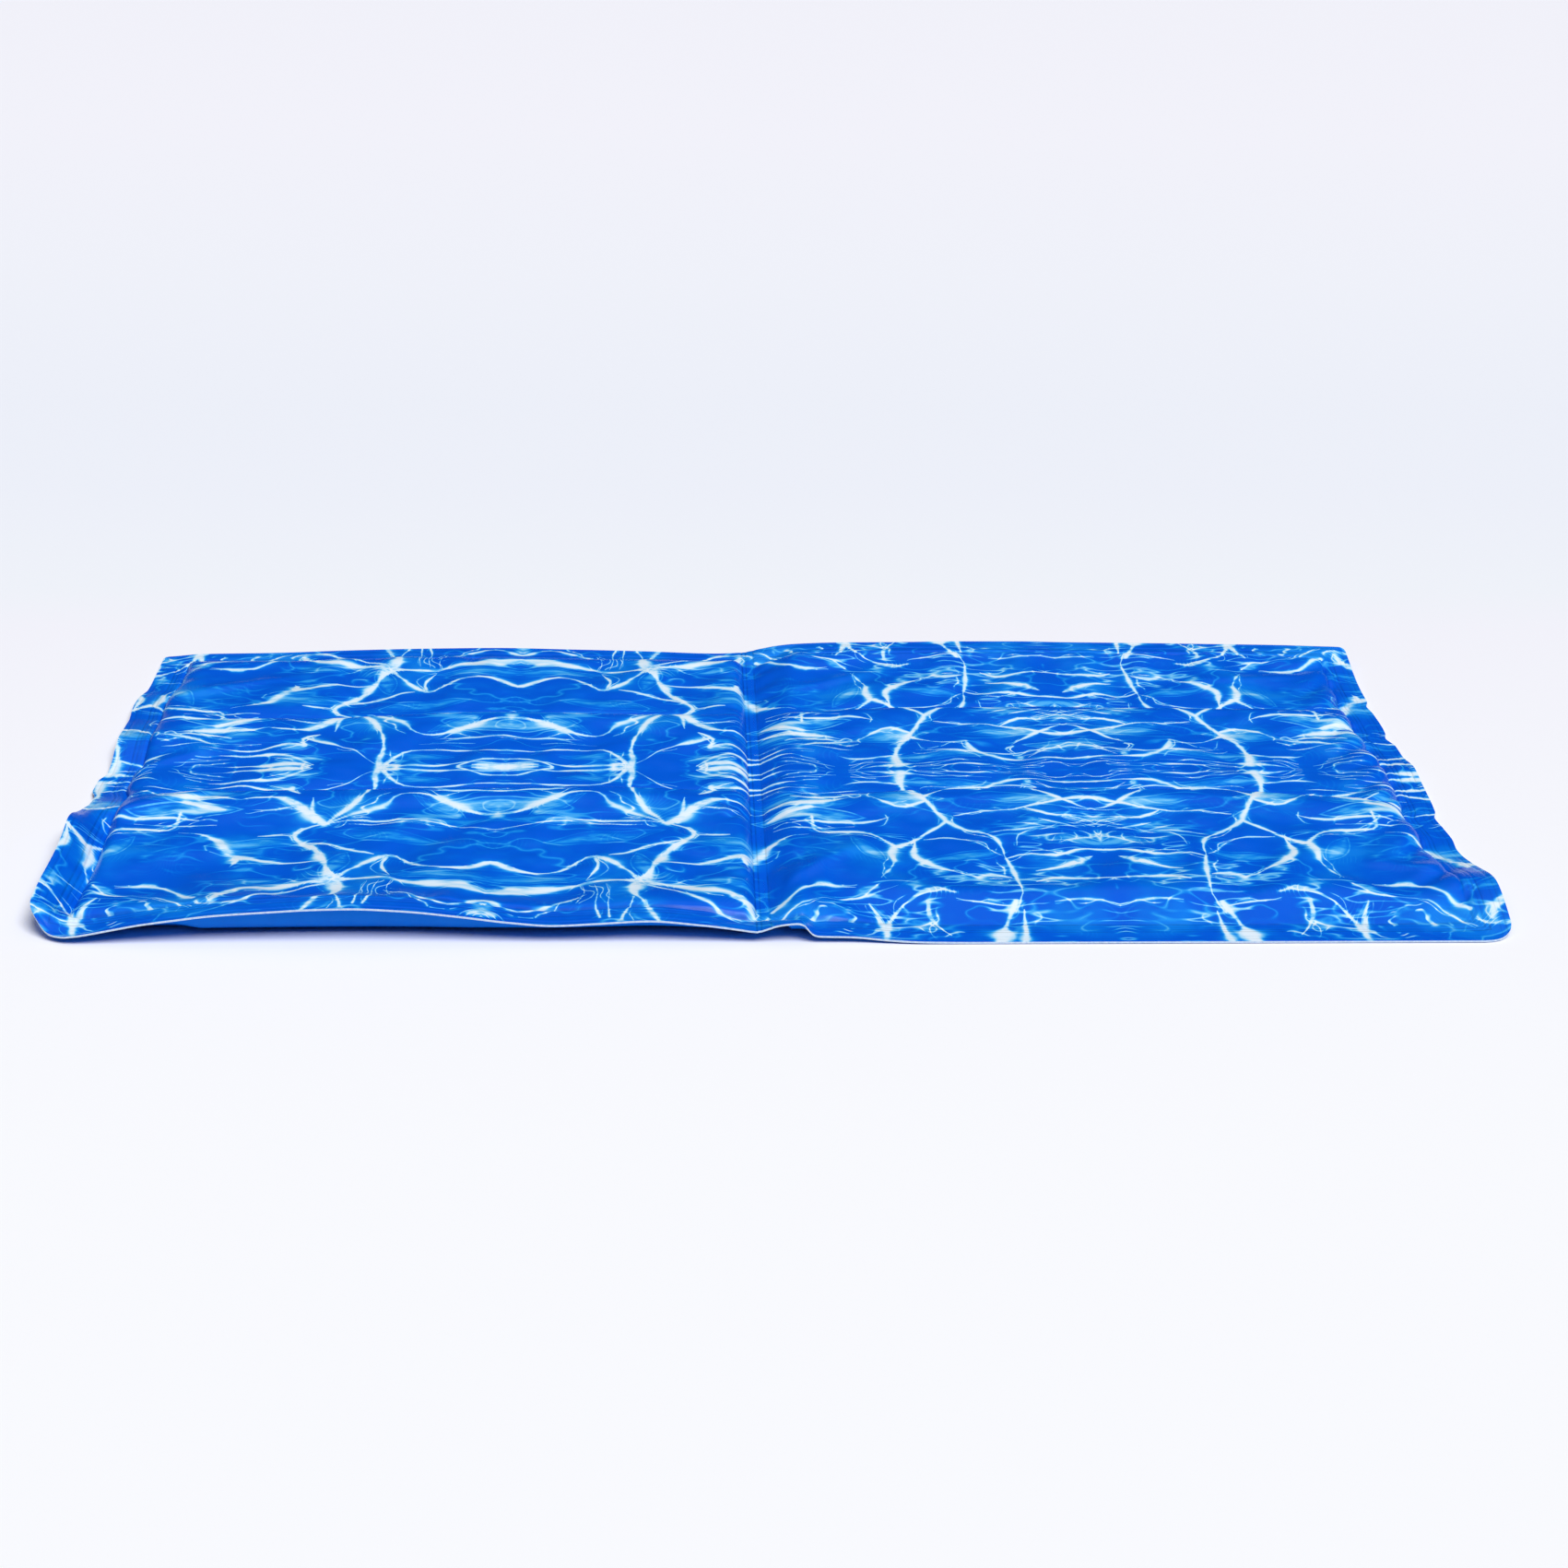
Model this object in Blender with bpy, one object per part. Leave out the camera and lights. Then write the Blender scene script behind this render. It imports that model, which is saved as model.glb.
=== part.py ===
"""Dog cooling mat: two gel chambers side by side between a printed top sheet and a plain bottom sheet.

The sheets are welded together in a flat border all round and in a strip down the middle, along which the mat folds in half.
Frame: X along the long side, Y from the front edge to the back edge, Z up; the origin is on the floor under the middle of the mat.
"""

import math

import bmesh
import bpy

# Driving dimensions, in metres
LENGTH = 0.900  # along X
WIDTH = 0.500  # along Y
FRONT_CORNER_R = 0.020  # rounded corners of the outline at the front
BACK_CORNER_R = 0.005  # nearly square corners at the back
SHEET = 0.0006  # thickness of one coated sheet
GAP = 0.0003  # clearance between the two sheets in a weld
CORE_GAP = 0.0004  # clearance between a core and the sheets
BORDER = 0.0225  # width of the flat welded border
CORE_INSET = 0.031  # from the mat's edge to a gel core
CORE_INSET_STRIP = 0.009  # from the fold strip to a gel core
SWELL_TOP = 0.0105  # height of the top sheet over the cores
SHOULDER = 0.0165  # width over which the top sheet rises beside the border
SHOULDER_STRIP = 0.018  # the same beside the fold strip
UNDERSIDE_RUN = 0.014  # width over which the bottom sheet comes down to the floor
STRIP_X = -0.006  # middle of the fold strip
STRIP_WIDTH = 0.020  # between the two bend lines of the strip
STRIP_Z = 0.0045  # underside of the fold strip
BEND_GAP = 0.0005  # between the strip and a panel, with the bend line in the middle
HINGE_Z = STRIP_Z + 2 * SHEET + GAP  # bend lines lie in the top face of the strip
LIFT_REACH = 0.045  # how far in from the border a lifted edge raises the chamber
LIFT_SHARE = 0.6  # how much of the edge's lift the chamber takes

HALF_X, HALF_Y = LENGTH / 2, WIDTH / 2
STRIP_LEFT, STRIP_RIGHT = STRIP_X - STRIP_WIDTH / 2, STRIP_X + STRIP_WIDTH / 2

TOP_BLUE = (0.0, 0.115, 0.68, 1)
BOTTOM_BLUE = (0.005, 0.17, 0.66, 1)
GEL = (0.30, 0.62, 0.80, 1)


def smooth(t):
    t = min(1.0, max(0.0, t))
    return t * t * (3 - 2 * t)


def hump(at, centre, width, height):
    return height * math.exp(-(((at - centre) / width) ** 2))


# Height of the border's underside along each side. The mat has lain folded, so its edges wave up from the floor.
def front_edge(x):
    return hump(x, -0.270, 0.115, 0.0212) + hump(x, -0.076, 0.050, 0.0132) + hump(x, 0.004, 0.022, 0.0070)


def back_edge(x):
    return 0.0018 + hump(x, -0.215, 0.140, 0.0075) + 0.0122 * smooth((x + 0.030) / 0.060) - 0.0022 * smooth((x - 0.300) / 0.120)


def left_edge(y):
    window = smooth((y + 0.252) / 0.034) * (1 - smooth((y + 0.100) / 0.050))
    return 0.0168 * window + hump(y, -0.105, 0.026, 0.0048) + hump(y, 0.060, 0.022, 0.0100) + hump(y, 0.115, 0.045, 0.0060)


def right_edge(y):
    return hump(y, -0.195, 0.032, 0.0095) + hump(y, 0.020, 0.026, 0.0032) + 0.0112 * smooth((y - 0.185) / 0.065)


def strip_distance(x):
    """How far a point of a panel is from the fold strip's bend line."""
    return max(0.0, abs(x - STRIP_X) - STRIP_WIDTH / 2)


def corner_radius(y):
    return BACK_CORNER_R if y > 0 else FRONT_CORNER_R


def edge_distance(x, y):
    """How far inside the rounded outline a point is."""
    r = corner_radius(y)
    qx, qy = abs(x) - (HALF_X - r), abs(y) - (HALF_Y - r)
    return r - math.hypot(max(qx, 0), max(qy, 0)) - min(max(qx, qy), 0)


def weld_plane(x, y):
    """Height of the underside of the weld, carried inwards from the four sides and from the strip."""
    sides = (
        (HALF_Y + y, front_edge(x)),
        (HALF_Y - y, back_edge(x)),
        (HALF_X + x, left_edge(y)),
        (HALF_X - x, right_edge(y)),
    )
    weights = [1 / (max(d, 0) + 0.004) ** 3 for d, _ in sides]
    outer = sum(w * z for w, (_, z) in zip(weights, sides)) / sum(weights)
    return STRIP_Z + (outer - STRIP_Z) * smooth(strip_distance(x) / 0.030)


def rise(t):
    """A quarter ellipse, from 0 at the foot to 1 at the top of a shoulder."""
    t = min(1.0, max(0.0, t))
    return math.sqrt(1 - (1 - t) ** 2)


def top_sheet_under(x, y):
    """Underside of the top sheet."""
    weld, d = weld_plane(x, y), edge_distance(x, y)
    lift = LIFT_SHARE * max(0.0, weld - 0.005) * math.exp(-max(0.0, d - BORDER) / LIFT_REACH)
    share = rise((d - BORDER) / SHOULDER) * rise(strip_distance(x) / SHOULDER_STRIP)
    low = weld + SHEET + GAP
    return low + share * (SWELL_TOP + lift - SHEET - low)


def bottom_sheet_under(x, y):
    """Underside of the bottom sheet: flat on the floor under the chambers."""
    d = edge_distance(x, y)
    down = smooth((d - BORDER) / UNDERSIDE_RUN) * smooth(strip_distance(x) / UNDERSIDE_RUN)
    return weld_plane(x, y) * (1 - down)


def spread(start, end, count):
    """count equal steps from start to end, without the two ends."""
    return [start + (end - start) * i / count for i in range(1, count)]


def row_places():
    """Y of the grid's rows: round the corner, across the border and shoulder, then evenly over the chamber."""
    inwards = [BORDER, BORDER + 0.0025, CORE_INSET, 0.042]
    front_arc = [FRONT_CORNER_R * (1 - math.cos(math.radians(a))) for a in (0, 30, 60, 90)]
    back_arc = [BACK_CORNER_R * (1 - math.cos(math.radians(a))) for a in (0, 45, 90)] + [0.014]
    front = [-HALF_Y + s for s in front_arc + inwards]
    back = [HALF_Y - s for s in reversed(back_arc + inwards)]
    return front + spread(front[-1], back[0], 9) + back


def column_places(outer, inner, y):
    """X of the grid's columns in one row, from the mat's edge to the fold strip's bend line."""
    sign = 1 if inner > outer else -1
    r = corner_radius(y)
    q = abs(y) - (HALF_Y - r)
    pulled = r - math.sqrt(max(0.0, r**2 - max(q, 0.0) ** 2))
    near = [outer + sign * s for s in (pulled, BORDER, BORDER + 0.0025, CORE_INSET, 0.042)]
    far = [inner - sign * s for s in (0.020, CORE_INSET_STRIP, 0.003, 0.0)]
    return near + spread(near[-1], far[0], 7) + far


def material(name, colour, roughness):
    m = bpy.data.materials.new(name)
    m.use_nodes = True
    shader = m.node_tree.nodes["Principled BSDF"]
    shader.inputs["Base Color"].default_value = colour
    shader.inputs["Roughness"].default_value = roughness
    shader.inputs["Metallic"].default_value = 0.0
    m.diffuse_color = colour
    return m


def slab(name, grid, lower, upper, look, parent):
    """A closed sheet or core over a grid of (x, y) points, between two height functions."""
    bm = bmesh.new()
    verts = [[bm.verts.new((x, y, lower(x, y))) for x, y in row] for row in grid]
    faces = [
        bm.faces.new((a[i], a[i + 1], b[i + 1], b[i]))
        for a, b in zip(verts, verts[1:])
        for i in range(len(a) - 1)
    ]
    made = bmesh.ops.extrude_face_region(bm, geom=faces, use_keep_orig=True)
    for v in (g for g in made["geom"] if isinstance(g, bmesh.types.BMVert)):
        v.co.z = upper(v.co.x, v.co.y)
    bmesh.ops.recalc_face_normals(bm, faces=bm.faces)
    mesh = bpy.data.meshes.new(name)
    bm.to_mesh(mesh)
    bm.free()
    mesh.shade_smooth()
    mesh.set_sharp_from_angle(angle=math.radians(35))
    mesh.materials.append(look)
    obj = bpy.data.objects.new(name, mesh)
    bpy.context.scene.collection.objects.link(obj)
    place_on(obj, parent)
    return obj


def place_on(obj, parent):
    """Moves the object's origin to its body's bend line, without moving its shape."""
    if parent is None:
        return
    for v in obj.data.vertices:
        v.co -= parent.location
    obj.parent = parent


def bend_line(name, x):
    empty = bpy.data.objects.new(name, None)
    empty.location = (x, 0, HINGE_Z)
    empty.empty_display_size = 0.02
    bpy.context.scene.collection.objects.link(empty)
    return empty


def panel(side, outer, inner, parent, looks):
    """The two sheets and the gel core of one half."""
    rows = row_places()
    grid = [[(x, y) for x in column_places(outer, inner, y)] for y in rows]
    if outer > inner:
        grid = [row[::-1] for row in grid]
    slab(f"top_cover_{side}", grid, top_sheet_under, lambda x, y: top_sheet_under(x, y) + SHEET, looks[0], parent)
    slab(f"bottom_cover_{side}", grid, bottom_sheet_under, lambda x, y: bottom_sheet_under(x, y) + SHEET, looks[1], parent)
    tiny = 1e-6
    core = [
        [
            (x, y)
            for x, y in row
            if abs(x - outer) > CORE_INSET - tiny and strip_distance(x) > CORE_INSET_STRIP - tiny
        ]
        for row in grid
        if HALF_Y - abs(row[0][1]) > CORE_INSET - tiny
    ]
    slab(
        f"gel_core_{side}",
        core,
        lambda x, y: bottom_sheet_under(x, y) + SHEET + CORE_GAP,
        lambda x, y: top_sheet_under(x, y) - CORE_GAP,
        looks[2],
        parent,
    )


def strip(name, z, look, parent):
    """One sheet's part of the fold strip."""
    xs = [STRIP_LEFT + BEND_GAP / 2, STRIP_X, STRIP_RIGHT - BEND_GAP / 2]
    ys = [-HALF_Y, -HALF_Y / 2, 0.0, HALF_Y / 2, HALF_Y]
    grid = [[(x, y) for x in xs] for y in ys]
    slab(name, grid, lambda x, y: z, lambda x, y: z + SHEET, look, parent)


def build():
    for obj in list(bpy.data.objects):
        bpy.data.objects.remove(obj, do_unlink=True)
    top = material("printed_top_sheet", TOP_BLUE, 0.42)
    bottom = material("plain_bottom_sheet", BOTTOM_BLUE, 0.5)
    gel = material("gel_core", GEL, 0.35)
    looks = (top, bottom, gel)
    left_bend = bend_line("left_bend_line", STRIP_LEFT)
    right_bend = bend_line("right_bend_line", STRIP_RIGHT)
    panel("left", -HALF_X, STRIP_LEFT - BEND_GAP / 2, None, looks)
    strip("fold_strip_bottom", STRIP_Z, bottom, left_bend)
    strip("fold_strip_top", STRIP_Z + SHEET + GAP, top, left_bend)
    panel("right", HALF_X, STRIP_RIGHT + BEND_GAP / 2, right_bend, looks)


build()
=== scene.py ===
import math

import bpy
import numpy as np
from mathutils import Matrix, Vector


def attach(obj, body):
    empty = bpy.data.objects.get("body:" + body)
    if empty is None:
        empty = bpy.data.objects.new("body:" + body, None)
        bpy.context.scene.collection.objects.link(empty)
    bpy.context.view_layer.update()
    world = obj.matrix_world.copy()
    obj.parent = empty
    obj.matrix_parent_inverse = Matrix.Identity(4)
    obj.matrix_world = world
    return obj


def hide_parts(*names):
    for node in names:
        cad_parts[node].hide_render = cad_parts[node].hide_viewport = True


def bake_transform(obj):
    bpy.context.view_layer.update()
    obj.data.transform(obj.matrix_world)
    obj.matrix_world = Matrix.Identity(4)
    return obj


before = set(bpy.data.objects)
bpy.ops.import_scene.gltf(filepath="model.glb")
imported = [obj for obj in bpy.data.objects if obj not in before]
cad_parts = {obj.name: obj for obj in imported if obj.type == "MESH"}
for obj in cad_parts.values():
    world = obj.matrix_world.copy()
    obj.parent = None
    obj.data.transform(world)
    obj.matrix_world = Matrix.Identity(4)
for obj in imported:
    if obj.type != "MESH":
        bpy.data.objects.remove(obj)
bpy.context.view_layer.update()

# ---------------------------------------------------------------- sizes, in millimetres
MM = 0.001
HALF_X, HALF_Y = 450.0, 250.0
CORNER, LEFT_CORNER, BACK_CORNER = 20.0, 31.0, 3.5  # rounded corners at the front, the left one pulled rounder, small ones at the back
SHEET = 0.6  # one coated sheet
BORDER = 22.5  # flat welded border
STRIP_X = -6.0  # middle of the welded fold strip
STRIP_HALF = 10.0
CORE_INSET, CORE_INSET_STRIP = 31.0, 9.0


# ---------------------------------------------------------------- small tools for shapes
def smooth(t):
    t = np.clip(t, 0.0, 1.0)
    return t * t * (3 - 2 * t)


def rise(t, power=2.0):
    """From 0 at the foot to 1 at the top of a rounded shoulder."""
    t = np.clip(t, 0.0, 1.0)
    return (1 - (1 - t) ** power) ** (1 / power)


def bell(t):
    return np.exp(-t * t)


def curve(*points):
    """A smooth line through the points that never runs past them."""
    px, py = np.array(points, float).T
    run, up = np.diff(px), np.diff(py)
    slope = up / run
    m = np.zeros_like(px)
    same = slope[:-1] * slope[1:] > 0
    m[1:-1][same] = 2 * slope[:-1][same] * slope[1:][same] / (slope[:-1][same] + slope[1:][same])

    def at(x):
        x = np.clip(x, px[0], px[-1])
        i = np.clip(np.searchsorted(px, x) - 1, 0, len(px) - 2)
        h = run[i]
        t = (x - px[i]) / h
        return (
            py[i] * (1 + 2 * t) * (1 - t) ** 2
            + m[i] * h * t * (1 - t) ** 2
            + py[i + 1] * t * t * (3 - 2 * t)
            + m[i + 1] * h * t * t * (t - 1)
        )

    return at


# ---------------------------------------------------------------- how the mat lies
# Heights of the welded border's edge along each side: it waves up from the floor.
front_edge = curve(
    (-450, 3), (-430, 4), (-415, 6.2), (-398, 9.5), (-382, 12.6), (-360, 15.8), (-338, 18.6), (-307, 20.8),
    (-274, 22.6), (-256, 22.9), (-225, 21.4), (-192, 17.8), (-160, 13.6), (-135, 11.6), (-110, 12.7), (-77, 14.4),
    (-45, 11.6), (-35, 10.4), (-22, 8.4), (-13, 7.2), (-8, 8.1), (-2, 10.3), (5, 11.8), (12.5, 12.4), (16, 11.4), (18.4, 8.8), (21.2, 5.5), (25, 4.0), (48, 3.4),
    (66, 2.0), (90, 1.0), (120, 0.66), (450, 0.66),
)
back_edge = curve(
    (-450, 2.5), (-421, 4.6), (-365, 5.6), (-309, 7.6), (-253, 9.0), (-197, 9.6), (-142, 8.4), (-86, 7.0),
    (-32, 5.2), (-12, 6.0), (2, 9.0), (14, 11.4), (28, 13.0), (60, 14.2), (110, 14.6), (150, 15.2), (200, 15.2),
    (230, 14.6), (300, 13.8), (340, 13.2), (395, 12.4), (450, 11.0),
)
left_edge = curve(
    (-250, 4), (-243, 9), (-235, 13.2), (-222, 16.2), (-200, 18), (-165, 19.4), (-124, 20.8), (-108, 21.6),
    (-95, 19.6), (-82, 15.0), (-70, 11.4), (-58, 8.8), (-44, 6.2), (-26, 3.2), (-8, 1.8), (12, 2.0), (27, 4.0),
    (40, 8.0), (50, 10.4), (59, 11.8), (67, 11.2), (79, 9.6), (93, 8.2), (111, 6.2), (133, 5.8), (156, 4.6),
    (178, 2.2), (195, 1.4), (250, 2.0),
)
right_edge = curve(
    (-250, 1.2), (-238, 2.6), (-228, 5.2), (-216, 8.2), (-204, 10.4), (-187, 11.9), (-176, 10.8), (-165, 8.4),
    (-155, 6.0), (-140, 3.2), (-124, 1.4), (-60, 1.2), (-30, 1.3), (0, 2.0), (11, 3.2), (20, 3.7), (33, 2.7),
    (47, 1.4), (120, 1.2), (165, 1.3), (193, 1.8), (213, 3.0), (230, 5.4), (250, 7.6),
)
strip_height = curve((-250, 7.6), (-238, 5.6), (-222, 3.8), (-195, 3.0), (0, 2.6), (180, 3.0), (222, 4.2), (250, 6.2))
# How far the right edge is drawn in by the folds that cross the mat.
right_pull = curve(
    (-250, 0), (-215, -1.5), (-190, -2.5), (-160, -1.0), (-128, 2.2), (-116, 3.4), (-100, 2.2), (-82, 3.4), (-64, 5.0),
    (-52, 2.0), (-20, 0), (20, -1.0), (48, 1.0), (66, 1.2), (82, 5.0), (92, 3.0), (106, 2.4), (132, 3.0), (146, 4.6),
    (156, 2.0), (180, 1.5), (215, 0), (250, -1.0),
)
left_pull = curve(
    (-250, 0.5), (-232, -1.2), (-205, -0.8), (-150, 0.8), (-95, -0.8), (-66, 0.0), (-52, 1.6), (-30, 0.4), (-14, -3.6), (2, -3.4),
    (16, 0.8), (40, 1.2), (100, 0.0), (140, -2.6), (158, -2.2), (180, 0.4), (250, 0.5),
)

# Crests across the mat: places along them, and how high they stand there.
near_crest_y = curve((-450, -62), (-400, -50), (-300, -43), (-178, -39), (-40, -42), (20, -46), (110, -40), (210, -40), (290, -41), (330, -45), (380, -54), (450, -70))
near_crest_h = curve((-450, 1.5), (-410, 3.0), (-350, 3.6), (-200, 4.2), (-60, 4.0), (-28, 1.6), (0, 0.6), (30, 1.8), (90, 3.2), (210, 4.4), (300, 4.2), (380, 3.8), (430, 2.0), (450, 0.4))
far_crest_y = curve((-450, 84), (-400, 88), (-300, 94), (-178, 101), (-60, 98), (0, 104), (60, 114), (210, 117), (340, 114), (400, 108), (450, 98))
far_crest_h = curve((-450, 1.5), (-410, 2.6), (-330, 3.4), (-178, 4.6), (-60, 4.0), (-28, 1.4), (0, 0.6), (30, 1.4), (90, 2.6), (210, 3.4), (340, 3.0), (400, 2.6), (430, 1.6), (450, 0.4))


def crest(x, y, line, height, front, back):
    """A fold across the mat: it rises gently from the front and drops sharply behind."""
    u = y - line(x)
    near = np.exp(-np.abs(np.minimum(u, 0) / front) ** 1.6)
    behind = 1 - smooth(np.maximum(u, 0) / back)
    dip = 0.18 * bell((u - back * 1.5) / (back * 0.8))
    return height(x) * (np.where(u < 0, near, behind) - dip)


def corner_radius(x, y):
    return np.where(y > 0, BACK_CORNER, np.where(x < 0, LEFT_CORNER, CORNER))


def edge_distance(x, y):
    """How far inside the rounded outline a point is."""
    r = corner_radius(x, y)
    qx, qy = np.abs(x) - (HALF_X - r), np.abs(y) - (HALF_Y - r)
    return r - np.hypot(np.maximum(qx, 0), np.maximum(qy, 0)) - np.minimum(np.maximum(qx, qy), 0)


def strip_distance(x):
    return np.maximum(0.0, np.abs(x - STRIP_X) - STRIP_HALF)


def edge_plane(x, y):
    """Height of the weld, carried inwards from the four sides."""
    total, weights = 0.0, 0.0
    tilted = 0.72 * smooth((HALF_X + x) / 22) * smooth((-58 - y) / 40) * smooth((y + 236) / 24)
    for d, z in (
        (HALF_Y + y, front_edge(x)),
        (HALF_Y - y, back_edge(x)),
        (HALF_X + x, left_edge(y) * (1 - tilted)),
        (HALF_X - x, right_edge(y)),
    ):
        w = 1 / (np.maximum(d, 0) + 4.0) ** 3
        total, weights = total + w * z, weights + w
    return total / weights


def weld_plane(x, y):
    """Middle of the weld between the two sheets."""
    outer, strip = edge_plane(x, y), strip_height(y)
    across = smooth((np.abs(x - STRIP_X) - 4.0) / 34.0)
    ends = 1 - smooth((HALF_Y - np.abs(y)) / 24.0)
    return strip + (outer - strip) * np.maximum(across, ends)


def seam_share(x, y):
    """How far the top sheet has risen beside the fold strip: a steep slope on the left, a softer one on the right."""
    left = rise((-12.3 - x) / (7.5 + 5.5 * bell((y - 8) / 62)), 1.5)
    right = 0.4 * rise((x + 3.0) / 20.0, 1.5) + 0.6 * smooth((x + 5.0) / 29.0)
    return np.where(x < -8, left, right)


def line_crease(x, y, x0, y0, x1, y1, height, one_side, other_side):
    """A short crease along a line, steeper on one side."""
    dx, dy = x1 - x0, y1 - y0
    length = math.hypot(dx, dy)
    along = ((x - x0) * dx + (y - y0) * dy) / length**2
    off = ((x - x0) * -dy + (y - y0) * dx) / length
    side = np.where(off > 0, off / one_side, off / other_side)
    return height * bell(side) * smooth(along / 0.3) * smooth((1 - along) / 0.3)


def chamber_swell(x, y):
    """Height of the top face over the gel, before edges and weld pull it down."""
    front = smooth((near_crest_y(x) - 4 - y) / 10)
    back = smooth((y - far_crest_y(x) - 2) / 10)
    level = 9.7 + 0.6 * front + 0.4 * back - 0.8 * smooth((x + 20) / 40)
    level = level + crest(x, y, near_crest_y, near_crest_h, 52.0, 6.0) + crest(x, y, far_crest_y, far_crest_h, 88.0, 6.0)
    level = level + 0.9 * bell((x + 26) / 14)
    uneven = (
        0.55 * np.sin(x / 41.0 + 1.3 + 0.6 * np.sin(y / 60)) * np.sin(y / 33.0 + 0.4)
        + 0.35 * np.sin(x / 23.0 + y / 51.0 + 2.1)
        + 0.25 * np.sin(x / 17.0 - y / 29.0 + 0.7)
    )
    return level + uneven


def weld_lines(d):
    """The pressed lines of the weld, parallel to the edge."""
    return -0.40 * bell((d - 3.6) / 0.9) - 0.50 * bell((d - 13.4) / 0.9) - 0.36 * bell((d - 16.2) / 0.9) - 1.15 * bell((d - 22.2) / 1.5)


def strip_lines(x):
    return -0.50 * bell((x + 12.2) / 0.9) - 0.45 * bell((x + 9.4) / 0.8) - 0.40 * bell((x + 3.6) / 0.9)


def puckers(x, y):
    """Small folds where the flat border holds back the swelling chamber."""
    d = edge_distance(x, y)
    reach = bell((d - 27) / 12)
    along_x = 0.55 * np.sin(x / 5.6 + 2.2 * np.sin(x / 31.0)) * smooth((np.sin(x / 47.0 + 0.8) + 0.2) / 0.9)
    along_y = 0.55 * np.sin(y / 5.2 + 2.0 * np.sin(y / 27.0)) * smooth((np.sin(y / 39.0 + 2.0) + 0.3) / 0.9)
    near_side = HALF_X - np.abs(x) < HALF_Y - np.abs(y)
    return reach * np.where(near_side, along_y, along_x)


def seam_folds(x, y):
    """Folds that run across the slopes beside the fold strip."""
    left = bell((x + 18) / 6) * (
        0.55 * np.sin(y / 3.1 + 1.6 * np.sin(y / 23.0)) * smooth((np.sin(y / 31.0 + 0.9) + 0.1) / 0.9)
    )
    left = left - 1.6 * bell((x + 20) / 8) * (bell((y - 62) / 5) + bell((y + 58) / 6) + 0.7 * bell((y + 82) / 4) + 0.7 * bell((y - 120) / 5))
    right = bell((x - 6) / 9) * (
        0.5 * np.sin(y / 3.7 + 1.4 * np.sin(y / 19.0)) * smooth((np.sin(y / 37.0 + 2.6) + 0.1) / 0.9)
    )
    right = right + 0.8 * bell((x - 22) / 6) * smooth((y - 60) / 60) + 0.9 * bell((x - 30) / 7) * smooth((-90 - y) / 60)
    return (left + right) * smooth((HALF_Y - np.abs(y) - 14) / 22)


def edge_folds(x, y):
    """Slanting folds that run from the right chamber out over its short edge."""
    u = HALF_X - x
    phase = (y + 0.9 * (u - 20) + 9 * np.sin(y / 43.0)) / 37.0 * 2 * math.pi
    wave = np.sin(phase) + 0.35 * np.sin(2 * phase + 1.0)
    return 1.15 * wave * bell((u - 30) / 17) * smooth((HALF_Y - np.abs(y) - 16) / 26)


def top_face(x, y):
    """Upper face of the printed sheet."""
    weld, d, s = weld_plane(x, y), edge_distance(x, y), strip_distance(x)
    low = weld + SHEET
    lift = 0.6 * np.maximum(0.0, weld - 5.0) * np.exp(-np.maximum(0.0, d - BORDER) / 45.0)
    soft = smooth((x - 10) / 60) * smooth((-HALF_Y + 90 - y) / 50)
    steep = smooth((-405 - x) / 20) * smooth((-62 - y) / 20) * smooth((y + 226) / 20)
    share = (rise((d - BORDER) / (17.0 - 10.0 * steep)) * (1 - soft) + smooth((d - BORDER + 5) / 42.0) * soft) * seam_share(x, y)
    high = chamber_swell(x, y) + lift
    z = low + share * (high - low)
    z = z + (1 - share) ** 2 * weld_lines(d) * (1 - 0.5 * soft) + (1 - share) * strip_lines(x) * (s <= 0)
    z = z - 2.1 * steep * bell((d - 21.5) / 4.5) + 0.9 * steep * bell((d - 31) / 5)
    z = z + puckers(x, y) * smooth((d - 16) / 8) * (1 - 0.7 * soft) + seam_folds(x, y) + edge_folds(x, y) * smooth((d - 6) / 10)
    z = z + line_crease(x, y, -442, 128, -330, 196, 1.1, 9, 3.5) * share
    z = z + line_crease(x, y, -446, -96, -352, -34, 1.6, 10, 4) * share
    z = z + line_crease(x, y, -440, -8, -372, 44, 1.3, 8, 4) * share
    z = z - line_crease(x, y, -36, -58, -9, -78, 1.7, 4.0, 2.2) - line_crease(x, y, -31, -88, -12, -70, 1.3, 4.0, 2.0)
    z = z - line_crease(x, y, -30, -26, -10, -44, 0.9, 4.0, 2.2) + line_crease(x, y, -34, -68, -16, -90, 0.8, 3.0, 3.0)
    z = z + line_crease(x, y, -2, -196, 66, -118, 1.5, 9, 4) * smooth(s / 6)
    z = z + line_crease(x, y, 12, 150, 88, 196, 1.1, 8, 4) * smooth(s / 6)
    z = z + line_crease(x, y, 372, -150, 452, -182, 1.4, 9, 4) * share
    z = z + line_crease(x, y, 396, -40, 450, -66, 1.0, 8, 4) * share
    z = z + line_crease(x, y, 300, 168, 420, 190, 0.9, 9, 4) * share
    return np.maximum(z, bottom_face(x, y) + 2.03 * SHEET)


def bottom_face(x, y):
    """Lower face of the plain sheet: flat on the floor under the gel, up to the weld near the edges."""
    d, s = edge_distance(x, y), strip_distance(x)
    weld = weld_plane(x, y) - SHEET + (weld_lines(d) + strip_lines(x) * (s <= 0)) * 0.5
    run = 8.6 + 3.4 * smooth((x + 190) / 60) + 9.0 * smooth((-346 - x) / 22)
    hollow = np.exp(-np.maximum(0.0, d - 2.5) / run) * (1 - smooth((d - 14) / 18))
    beside_strip = 1 - smooth(s / 9.0)
    return np.maximum(weld * np.maximum(hollow, beside_strip), 0.05)


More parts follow.
